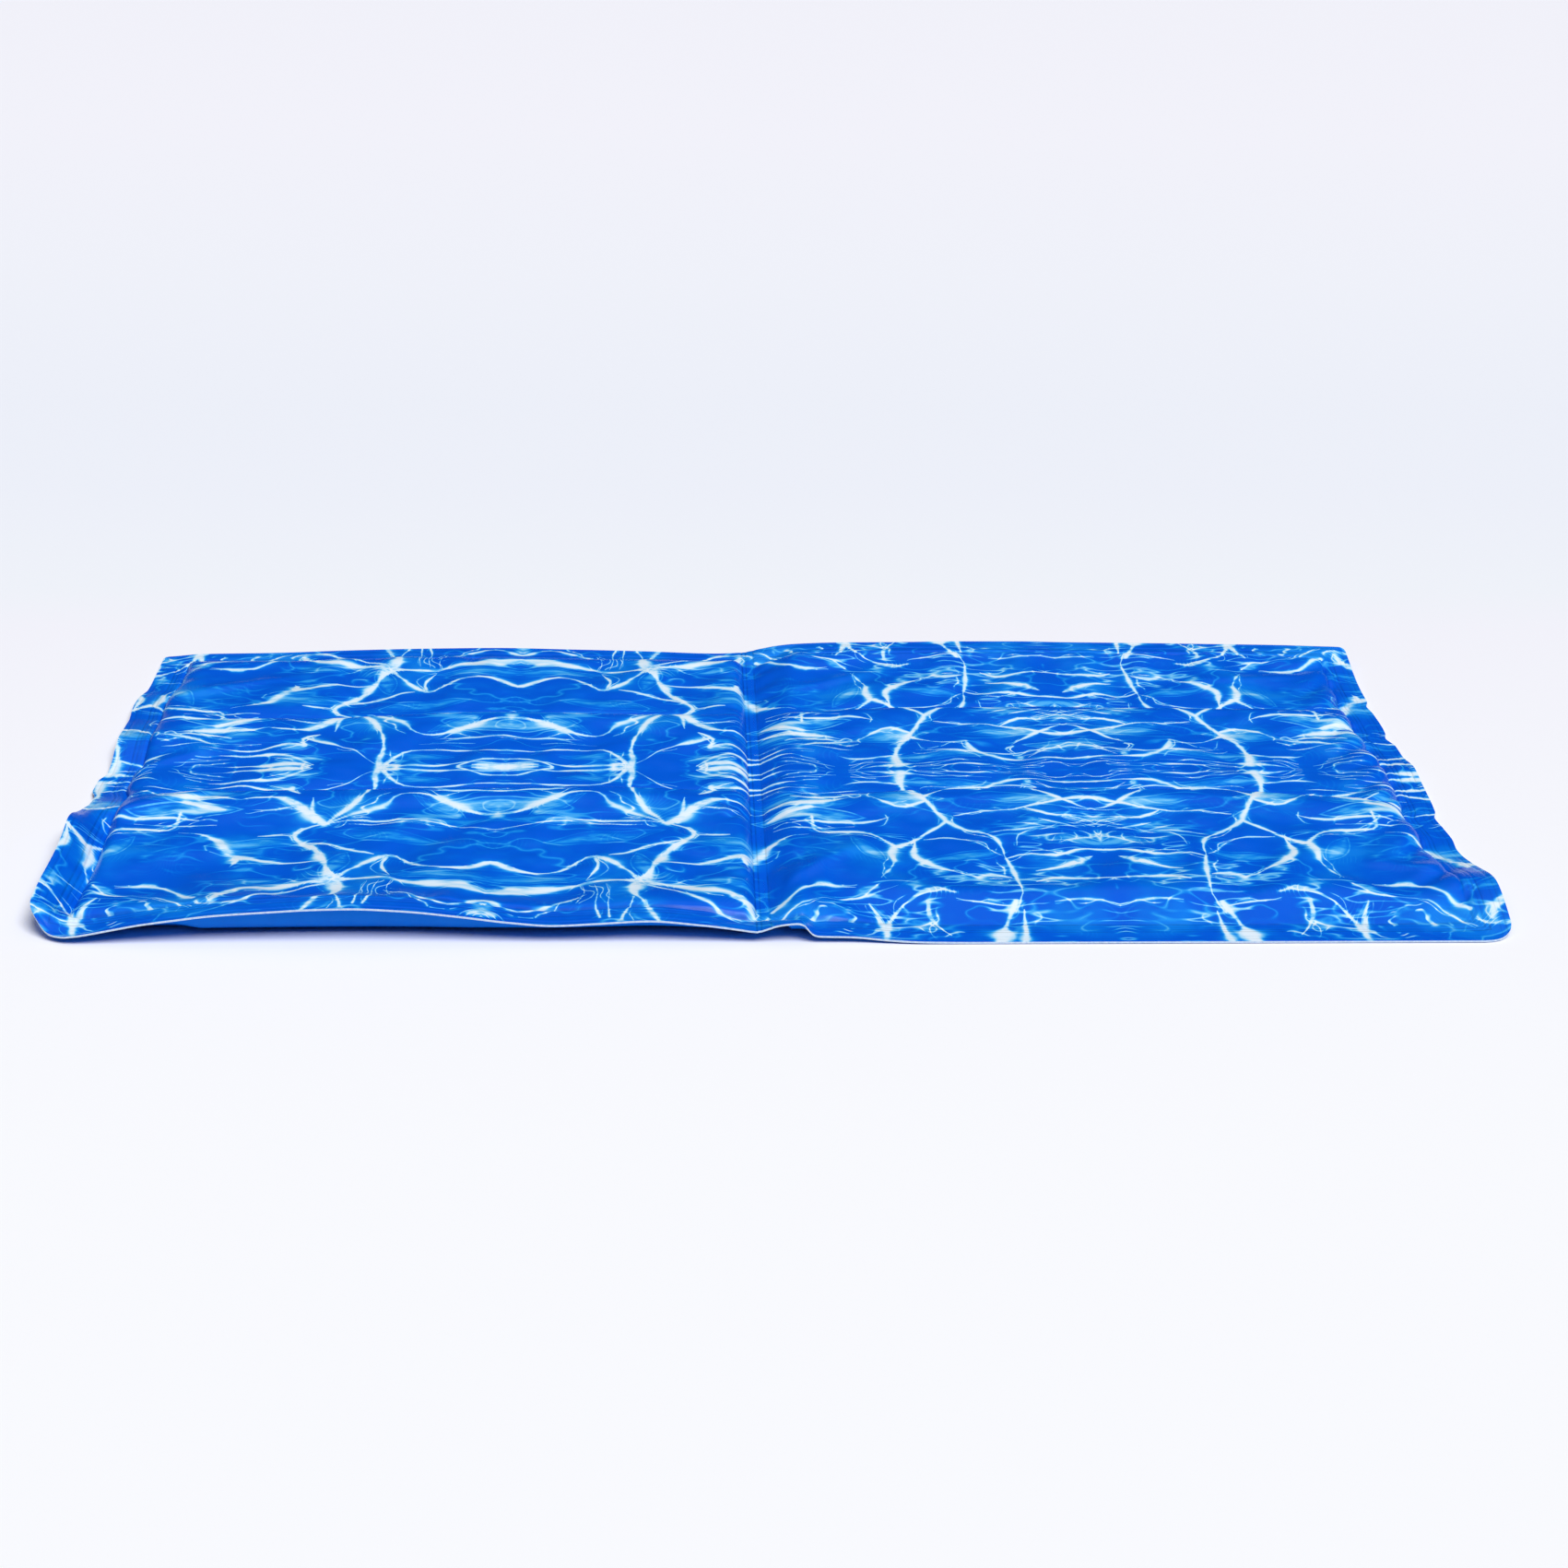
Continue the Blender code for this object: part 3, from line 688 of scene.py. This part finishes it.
def strand_group():
    """One straight stretch of a light strand with its glow, added to the sum so far."""
    tree = bpy.data.node_groups.new("strand", "ShaderNodeTree")
    for name, kind in (("Place", "NodeSocketVector"), ("Start", "NodeSocketVector"), ("Run", "NodeSocketVector"), ("Across", "NodeSocketVector"),
                       ("Per", "NodeSocketFloat"), ("Width", "NodeSocketFloat"), ("Taper", "NodeSocketFloat"), ("Swell", "NodeSocketFloat"),
                       ("Drift", "NodeSocketFloat"), ("Core", "NodeSocketFloat"), ("Thin", "NodeSocketFloat")):
        tree.interface.new_socket(name, in_out="INPUT", socket_type=kind)
    for name in ("Core", "Thin"):
        tree.interface.new_socket(name, in_out="OUTPUT", socket_type="NodeSocketFloat")
    n = Nodes(tree)
    given = n.add("NodeGroupInput").outputs
    rel = n.vector("SUBTRACT", given["Place"], given["Start"])
    t = n.math("MULTIPLY", n.vector("DOT_PRODUCT", rel, given["Run"], out=1), given["Per"])
    t = n.math("MINIMUM", n.math("MAXIMUM", t, 0.0), 1.0)
    off = n.vector("SUBTRACT", rel, n.vector("SCALE", given["Run"], Scale=t))
    d2 = n.vector("DOT_PRODUCT", off, off, out=1)
    w = n.math("MULTIPLY", n.math("MULTIPLY_ADD", t, given["Taper"], given["Width"]), given["Swell"])
    w2 = n.math("MULTIPLY", n.math("MULTIPLY", w, w), 1.15)
    cut = n.math("MAXIMUM", n.math("MULTIPLY_ADD", d2, -1 / REACH**2, 1.0), 0.0)
    glow = n.math("MULTIPLY", n.math("DIVIDE", w2, n.math("ADD", d2, w2)), cut)
    for _ in range(2):
        glow = n.math("MULTIPLY", n.math("MULTIPLY", glow, glow), n.math("MULTIPLY_ADD", glow, -2.0, 3.0))
    glow = n.math("MULTIPLY", glow, n.math("DIVIDE", w, n.math("ADD", w, 0.42)))
    glow = n.math("MULTIPLY", n.math("MULTIPLY", glow, glow), glow)
    side = n.math("MULTIPLY", n.vector("DOT_PRODUCT", rel, given["Across"], out=1), 2.0)
    d2b = n.math("MULTIPLY_ADD", given["Drift"], n.math("SUBTRACT", given["Drift"], side), d2)
    thin = n.math("MULTIPLY", n.math("DIVIDE", 0.16, n.math("ADD", n.math("MAXIMUM", d2b, 0.0), 0.16)), cut)
    out = n.add("NodeGroupOutput")
    tree.links.new(n.math("ADD", glow, given["Core"]), out.inputs["Core"])
    tree.links.new(n.math("ADD", thin, given["Thin"]), out.inputs["Thin"])
    return tree


def stretches_near(x0, x1, y0, y1):
    """The stretches of strands whose glow can reach a tile of the folded print."""
    room = REACH + WARP
    for line in map(rounded, STRANDS):
        for (ax, ay, wa), (bx, by, wb) in zip(line, line[1:]):
            nx = min(max((ax + bx) / 2, x0), x1)
            ny = min(max((ay + by) / 2, y0), y1)
            length = math.hypot(bx - ax, by - ay)
            along = min(1.0, max(0.0, ((nx - ax) * (bx - ax) + (ny - ay) * (by - ay)) / length**2))
            px, py = ax + along * (bx - ax), ay + along * (by - ay)
            if math.hypot(max(x0 - px, 0, px - x1), max(y0 - py, 0, py - y1)) < room:
                yield (ax, ay, wa), (bx, by, wb), length


def printed_sheet(column, row, group):
    """The coated top fabric with the water print, for one tile of the folded print."""
    m, n, shader, uv = material(f"printed_coated_fabric_{column}_{row}")
    part = n.add("ShaderNodeSeparateXYZ", {0: n.vector("SCALE", uv, Scale=1000.0)})
    fx = n.math("PINGPONG", n.math("SUBTRACT", part.outputs[0], MIRROR_X), MIRROR_RUN)
    fy = n.math("ABSOLUTE", n.math("SUBTRACT", part.outputs[1], MIRROR_Y))
    folded = n.add("ShaderNodeCombineXYZ", {0: fx, 1: fy}).outputs[0]

    def wander(scale, amount, seed, detail=1.0):
        shifted = n.vector("ADD", folded, (0, 0, seed))
        return n.vector("SCALE", n.vector("SUBTRACT", n.noise(shifted, scale, detail, 0.5, out=1), (0.5, 0.5, 0.5)), Scale=amount)

    def grey(scale, seed, detail=1.0, rough=0.5, place=None):
        return n.noise(n.vector("ADD", place or folded, (0, 0, seed)), scale, detail, rough)

    moved = n.vector("ADD", n.vector("ADD", folded, wander(1 / 62, 18.0, 100)), wander(1 / 13, 1.3, 200))
    place = n.vector("MULTIPLY", moved, (1, 1, 0))
    swell = n.span(grey(1 / 26, 300), 0.25, 0.75, 0.16, 0.92)
    drift = n.math("MULTIPLY", n.math("SUBTRACT", grey(1 / 30, 350), 0.5), 42.0)
    core, thin = None, None
    for (ax, ay, wa), (bx, by, wb), length in stretches_near(TILES_X[column], TILES_X[column + 1], TILES_Y[row], TILES_Y[row + 1]):
        node = n.add("ShaderNodeGroup", node_tree=group)
        links = n.tree.links
        links.new(place, node.inputs["Place"])
        links.new(swell, node.inputs["Swell"])
        links.new(drift, node.inputs["Drift"])
        node.inputs["Start"].default_value = (ax, ay, 0)
        node.inputs["Run"].default_value = (bx - ax, by - ay, 0)
        node.inputs["Across"].default_value = ((ay - by) / length, (bx - ax) / length, 0)
        node.inputs["Per"].default_value = 1 / length**2
        node.inputs["Width"].default_value = wa
        node.inputs["Taper"].default_value = wb - wa
        if core is not None:
            links.new(core, node.inputs["Core"])
            links.new(thin, node.inputs["Thin"])
        core, thin = node.outputs["Core"], node.outputs["Thin"]

    def ridges(scale, seed, sharp, detail=1.0, place=None):
        value = grey(scale, seed, detail, 0.5, place)
        return n.math("SUBTRACT", 1.0, n.math("MULTIPLY", n.math("ABSOLUTE", n.math("SUBTRACT", value, 0.5)), sharp), clamp=True)

    core = n.math("POWER", core, 1 / 3)
    leaf = None
    for cx, cy, half_length, half_width, turn, pale in LEAVES:
        if max(TILES_X[column] - cx, cx - TILES_X[column + 1]) > half_length + WARP or max(TILES_Y[row] - cy, cy - TILES_Y[row + 1]) > half_length + WARP:
            continue
        c, s = math.cos(math.radians(turn)), math.sin(math.radians(turn))
        rel = n.vector("SUBTRACT", place, (cx, cy, 0))
        u = n.vector("DOT_PRODUCT", rel, (c / half_length, s / half_length, 0), out=1)
        v = n.math("ABSOLUTE", n.vector("DOT_PRODUCT", rel, (-s / half_width, c / half_width, 0), out=1))
        inner = n.math("SUBTRACT", n.math("SUBTRACT", 1.0, n.math("MULTIPLY", u, u)), v)
        fill = n.span(inner, 0.0, 0.75, 0.0, pale)
        rim = n.math("MULTIPLY", n.span(n.math("ABSOLUTE", n.math("SUBTRACT", inner, 0.10)), 0.13, 0.02), pale * 0.8)
        this = n.math("MAXIMUM", fill, rim)
        leaf = this if leaf is None else n.math("MAXIMUM", leaf, this)
    near = n.span(n.math("POWER", n.math("MULTIPLY", core, 1 / 27), 0.25), 0.012, 0.24, style="LINEAR")
    core = n.math("MULTIPLY", core, 1.5)
    fine_part = n.math("MULTIPLY", n.span(fx, 170.0, 260.0), n.span(fy, 50.0, 150.0, 0.12, 1.0))
    bright = n.span(grey(1 / 30, 400), 0.35, 0.65, 0.8, 1.7, "LINEAR")
    main = n.math("SUBTRACT", 1.0, n.math("POWER", 0.30, n.math("MULTIPLY", core, bright)))
    streaky = n.span(grey(1 / 8, 930, 4.0, 0.62, n.vector("MULTIPLY", place, (0.6, 1.3, 1))), 0.35, 0.54, 0.54, 1.0)
    main = n.math("MULTIPLY", main, streaky)
    veil = n.math("MULTIPLY", n.math("MULTIPLY", near, n.span(grey(1 / 22, 500, 3.0, 0.55, n.vector("MULTIPLY", place, (0.55, 1.15, 1))), 0.36, 0.60)), 0.66)
    cloud = n.math("MULTIPLY", n.span(grey(1 / 55, 550, 3.0), 0.46, 0.72), 0.26)
    companions = n.math("MULTIPLY", n.math("MULTIPLY", n.math("SUBTRACT", thin, 0.03), n.span(grey(1 / 25, 600), 0.42, 0.6)), 0.75, clamp=True)
    webs = n.math("MULTIPLY", ridges(1 / 26, 700, 32.0, 1.0, n.vector("MULTIPLY", place, (0.7, 1.2, 1))), n.span(grey(1 / 48, 750), 0.42, 0.58))
    webs = n.math("MULTIPLY", webs, n.math("MULTIPLY_ADD", near, 0.66, 0.34))
    hair = n.math("MULTIPLY", ridges(1 / 11, 800, 18.0, 1.0, n.vector("MULTIPLY", place, (0.32, 1.25, 1))), n.span(grey(1 / 36, 850), 0.46, 0.62))
    hair = n.math("MULTIPLY", hair, n.math("MULTIPLY_ADD", n.math("MAXIMUM", n.math("MULTIPLY", near, 0.8), fine_part), 0.60, 0.04))
    smooth_part = n.math("MULTIPLY", n.span(n.math("ABSOLUTE", n.math("SUBTRACT", fx, 165.0)), 70.0, 45.0), n.span(fy, 60.0, 35.0))
    hair = n.math("MULTIPLY", hair, n.math("SUBTRACT", 1.0, smooth_part))
    # packs of fine lines that run side by side
    flow = grey(1 / 44, 1000, 0.0, 0.5, place)
    packs = n.span(n.math("SINE", n.math("MULTIPLY", flow, 170.0)), 0.50, 1.0)
    shown = n.math("MULTIPLY", n.span(grey(1 / 30, 1050), 0.50, 0.64), n.math("MULTIPLY_ADD", near, n.span(fy, 20.0, 120.0, 0.14, 0.5), 0.08))
    packs = n.math("MULTIPLY", packs, n.math("MULTIPLY", shown, n.span(fy, 10.0, 26.0)))
    layers = [main, veil, cloud, companions, webs, hair, packs]
    if leaf is not None:
        streaks = n.span(grey(1 / 9, 970, 3.0, 0.6, n.vector("MULTIPLY", place, (0.35, 1.3, 1))), 0.30, 0.66, 0.30, 1.0)
        layers.append(n.math("MULTIPLY", leaf, streaks))
    if row in (2, 3) and column in (2, 3):
        # rings like oil on water
        turned = n.vector("ADD", n.vector("SUBTRACT", place, (220, 236, 0)), wander(1 / 16, 22.0, 920))
        radius = n.vector("LENGTH", n.vector("MULTIPLY", turned, (0.72, 1.3, 0)), out=1)
        rings = n.math("SINE", n.math("MULTIPLY_ADD", grey(1 / 12, 900), 4.0, n.math("MULTIPLY", radius, 0.98)))
        shown = n.math("MULTIPLY", n.span(radius, 30.0, 12.0), n.span(grey(1 / 11, 940), 0.40, 0.58))
        layers.append(n.math("MULTIPLY", n.math("MULTIPLY", n.span(rings, 0.45, 1.0), shown), 0.85))
    total = None
    for layer in layers:
        left = n.math("SUBTRACT", 1.0, layer, clamp=True)
        total = left if total is None else n.math("MULTIPLY", total, left)
    light = n.math("SUBTRACT", 1.04, n.math("MULTIPLY", total, 1.04), clamp=True)
    colour = n.ramp(
        light,
        (0.0, srgb(0, 90, 218)), (0.10, srgb(1, 99, 221)), (0.24, srgb(4, 116, 228)), (0.39, srgb(30, 147, 237)),
        (0.55, srgb(86, 180, 244)), (0.71, srgb(148, 210, 249)), (0.86, srgb(200, 231, 252)), (1.0, srgb(225, 240, 253)),
    )
    # painted shade: the pressed lines of the weld are drawn darker in the colour, with patchy strength, standing in for
    # the shade in their creases
    dx = n.math("SUBTRACT", HALF_X, n.math("ABSOLUTE", part.outputs[0]))
    dy = n.math("SUBTRACT", HALF_Y, n.math("ABSOLUTE", part.outputs[1]))
    edge = n.math("MINIMUM", dx, dy)
    pressed = None
    for value, at, wide, deep in (
        (edge, 3.6, 0.9, 0.5), (edge, 7.2, 0.8, 0.3), (edge, 13.4, 0.9, 0.8), (edge, 16.2, 0.9, 0.6), (edge, 19.0, 0.8, 0.35), (edge, 22.3, 1.6, 0.65),
        (part.outputs[0], -12.2, 1.0, 1.0), (part.outputs[0], -9.4, 0.9, 0.9), (part.outputs[0], -3.6, 1.0, 0.8),
    ):
        line = n.math("MULTIPLY", n.span(n.math("ABSOLUTE", n.math("SUBTRACT", value, at)), wide, 0.0), deep)
        pressed = line if pressed is None else n.math("MAXIMUM", pressed, line)
    # painted crease shade, its strength varied in patches by noise
    painted_crease_shade = n.math("MULTIPLY", pressed, n.span(grey(1 / 14, 950, 2.0), 0.3, 0.6, 0.35, 1.0))
    colour = n.vector("SCALE", colour, Scale=n.math("SUBTRACT", 1.0, n.math("MULTIPLY", painted_crease_shade, 0.36)))
    n.tree.links.new(colour, shader.inputs["Base Color"])
    shader.inputs["Roughness"].default_value = 0.27
    shader.inputs["Specular IOR Level"].default_value = 0.15
    n.tree.links.new(weave(n, uv, 0.12, 0.0011), shader.inputs["Normal"])
    return m


def plain_sheet():
    m, n, shader, uv = material("plain_coated_fabric")
    mottle = n.noise(uv, 60.0, 3.0, 0.6)
    n.tree.links.new(n.ramp(mottle, (0.3, srgb(1, 109, 217)), (0.7, srgb(3, 115, 223))), shader.inputs["Base Color"])
    shader.inputs["Roughness"].default_value = 0.5
    shader.inputs["Specular IOR Level"].default_value = 0.05
    n.tree.links.new(weave(n, uv, 0.2, 0.0009), shader.inputs["Normal"])
    return m


def backing():
    m, n, shader, uv = material("fabric_backing")
    mottle = n.noise(uv, 120.0, 3.0, 0.6)
    n.tree.links.new(n.ramp(mottle, (0.3, srgb(188, 204, 228)), (0.7, srgb(214, 224, 240))), shader.inputs["Base Color"])
    shader.inputs["Roughness"].default_value = 0.7
    n.tree.links.new(weave(n, uv, 0.3, 0.0009), shader.inputs["Normal"])
    return m


def cut_edge():
    m, n, shader, uv = material("cut_edge")
    mottle = n.noise(uv, 400.0, 2.0, 0.6)
    n.tree.links.new(n.ramp(mottle, (0.3, srgb(178, 205, 240)), (0.7, srgb(222, 235, 250))), shader.inputs["Base Color"])
    shader.inputs["Roughness"].default_value = 0.6
    return m


def gel():
    m, n, shader, uv = material("gel_filling")
    mottle = n.noise(uv, 30.0, 4.0, 0.6)
    n.tree.links.new(n.ramp(mottle, (0.3, srgb(120, 178, 206)), (0.7, srgb(168, 214, 232))), shader.inputs["Base Color"])
    shader.inputs["Roughness"].default_value = 0.25
    return m


def print_tiles(x, y):
    """Which tiles of the folded print a grid's faces use, and each face's place among them."""
    cx = (x[:-1, :-1] + x[1:, 1:]).ravel() / 2
    cy = (y[:-1, :-1] + y[1:, 1:]).ravel() / 2
    run = np.mod(cx - MIRROR_X, 2 * MIRROR_RUN)
    fx, fy = np.minimum(run, 2 * MIRROR_RUN - run), np.abs(cy - MIRROR_Y)
    column = np.clip(np.searchsorted(TILES_X, fx) - 1, 0, len(TILES_X) - 2)
    row = np.clip(np.searchsorted(TILES_Y, fy) - 1, 0, len(TILES_Y) - 2)
    used, place = np.unique(column * 10 + row, return_inverse=True)
    return [(int(u) // 10, int(u) % 10) for u in used], place


# ---------------------------------------------------------------- the mat
PLAIN, BACKING, EDGE, GEL = plain_sheet(), backing(), cut_edge(), gel()
STRAND = strand_group()
PRINTED = {}
FINE = 1.0
made = []
for side, outer in (("left", -HALF_X), ("right", HALF_X)):
    x, y = sheet_grid(outer, STRIP_X, FINE)
    top, bottom = top_face(x, y), bottom_face(x, y)
    top = top + settled_at(settled(outer, STRIP_X), x, y)[..., 2] * smooth((edge_distance(x, y) - 18) / 8)
    top = np.maximum(top, bottom + 2.03 * SHEET)
    used, tiles = print_tiles(x, y)
    for tile in used:
        if tile not in PRINTED:
            PRINTED[tile] = printed_sheet(*tile, STRAND)
    upper = slab(f"top_sheet_{side}", x, y, top - SHEET, top, [*(PRINTED[tile] for tile in used), BACKING, EDGE], tiles)
    lower = slab(f"bottom_sheet_{side}", x, y, bottom, np.minimum(bottom + SHEET, top - SHEET - 0.02), (BACKING, PLAIN, EDGE))
    if side == "left":
        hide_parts("top_cover_left", "fold_strip_top")
        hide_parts("bottom_cover_left", "fold_strip_bottom")
    else:
        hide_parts("top_cover_right")
        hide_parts("bottom_cover_right")
    for piece, slot_name in ((upper, "printed_top_sheet"), (lower, "plain_bottom_sheet")):
        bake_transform(piece)
    inside = (edge_distance(x, y) > CORE_INSET) & (np.abs(x - STRIP_X) - STRIP_HALF > CORE_INSET_STRIP)
    rows_in = np.nonzero(inside.any(axis=1))[0]
    cols_in = np.nonzero(inside[len(x) // 2])[0]
    pick = np.ix_(rows_in[::2], cols_in[::2])
    gx, gy = x[pick], y[pick]
    over = np.minimum(top, top_face(x, y))[pick]
    pad = slab(f"gel_pad_{side}", gx, gy, bottom_face(gx, gy) + SHEET + 0.4, over - SHEET - 1.2, (GEL, GEL, GEL))
    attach(pad, f"{side}_panel")
    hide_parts(f"gel_core_{side}")
    made += [upper, lower, pad]

# ---------------------------------------------------------------- floor, light and camera
floor_mesh = bpy.data.meshes.new("floor")
floor_mesh.from_pydata([(-14, -14, -0.0004), (14, -14, -0.0004), (14, 14, -0.0004), (-14, 14, -0.0004)], [], [(0, 1, 2, 3)])
floor = bpy.data.objects.new("floor", floor_mesh)
bpy.context.scene.collection.objects.link(floor)
fm = bpy.data.materials.new("studio_floor")
fm.use_nodes = True
fs = fm.node_tree.nodes["Principled BSDF"]
fs.inputs["Roughness"].default_value = 0.85
fs.inputs["Specular IOR Level"].default_value = 0.1
fn = Nodes(fm.node_tree)
# painted light: the floor's colour is graded with distance back from the camera, lighter in front, darkest from just
# behind the mat to about a metre back and a little lighter further off, standing in for how the studio light falls
# across the floor; the noise grain is the floor's own random tone
depth = fn.add("ShaderNodeSeparateXYZ", {0: fn.add("ShaderNodeNewGeometry").outputs["Position"]}).outputs[1]
grain = fn.noise(fn.add("ShaderNodeNewGeometry").outputs["Position"], 60.0, 2.0, 0.5)
falloff_and_grain = fn.math("ADD", fn.span(depth, -1.0, 4.0, style="LINEAR"), fn.math("MULTIPLY", fn.math("SUBTRACT", grain, 0.5), 0.004))
floor_colour_with_painted_falloff = fn.ramp(
    falloff_and_grain,
    (0.10, srgb(244, 245, 249)), (0.14, srgb(243, 244, 249)), (0.265, srgb(238, 238, 246)), (0.285, srgb(235, 238, 245)), (0.34, srgb(233, 236, 245)),
    (0.40, srgb(233, 236, 245)), (0.52, srgb(236, 238, 246)), (0.72, srgb(239, 239, 247)), (1.0, srgb(239, 239, 247)),
)
fm.node_tree.links.new(floor_colour_with_painted_falloff, fs.inputs["Base Color"])
floor_mesh.materials.append(fm)

# A broad lamp high over the front on the right, and weak light from above that fades towards the walls of the room
world = bpy.data.worlds.new("studio")
bpy.context.scene.world = world
world.use_nodes = True
wn = Nodes(world.node_tree)
ground = world.node_tree.nodes["Background"]
towards = wn.add("ShaderNodeSeparateXYZ", {0: wn.add("ShaderNodeTexCoord").outputs["Generated"]})
overhead = wn.span(towards.outputs[2], 0.50, 0.85, 0.01, 0.41)
front = wn.math("MULTIPLY_ADD", wn.math("MAXIMUM", wn.math("MULTIPLY", towards.outputs[1], -1.0), 0.0), 0.8, 1.0)
world.node_tree.links.new(wn.math("MULTIPLY", overhead, front), ground.inputs[1])
ground.inputs[0].default_value = (0.985, 0.99, 1.0, 1)

lamp_data = bpy.data.lights.new("soft_lamp", "SUN")
lamp_data.angle = math.radians(36)
lamp_data.energy = 2.95
lamp = bpy.data.objects.new("soft_lamp", lamp_data)
lamp.rotation_euler = Vector((-0.30, 0.43, -0.85)).to_track_quat("-Z", "Y").to_euler()
bpy.context.scene.collection.objects.link(lamp)

FOCAL_PX, FRAME_PX = 3123.4, 1701
PITCH, YAW, ROLL = math.radians(22.31), math.radians(2.14), math.radians(0.75)
forward = Vector((math.sin(YAW) * math.cos(PITCH), math.cos(YAW) * math.cos(PITCH), -math.sin(PITCH)))
level = Vector((math.cos(YAW), -math.sin(YAW), 0))
upward = level.cross(forward)
across = level * math.cos(ROLL) + upward * math.sin(ROLL)
upright = -level * math.sin(ROLL) + upward * math.cos(ROLL)
camera_data = bpy.data.cameras.new("camera")
camera_data.sensor_width = 36
camera_data.lens = 36 * FOCAL_PX / FRAME_PX
camera = bpy.data.objects.new("camera", camera_data)
camera.matrix_world = Matrix.Translation((-0.0558, -1.8188, 0.7477)) @ Matrix((across, upright, -forward)).transposed().to_4x4()
bpy.context.scene.collection.objects.link(camera)
bpy.context.scene.camera = camera
bpy.context.scene.view_settings.view_transform = "Standard"

bpy.context.view_layer.update()
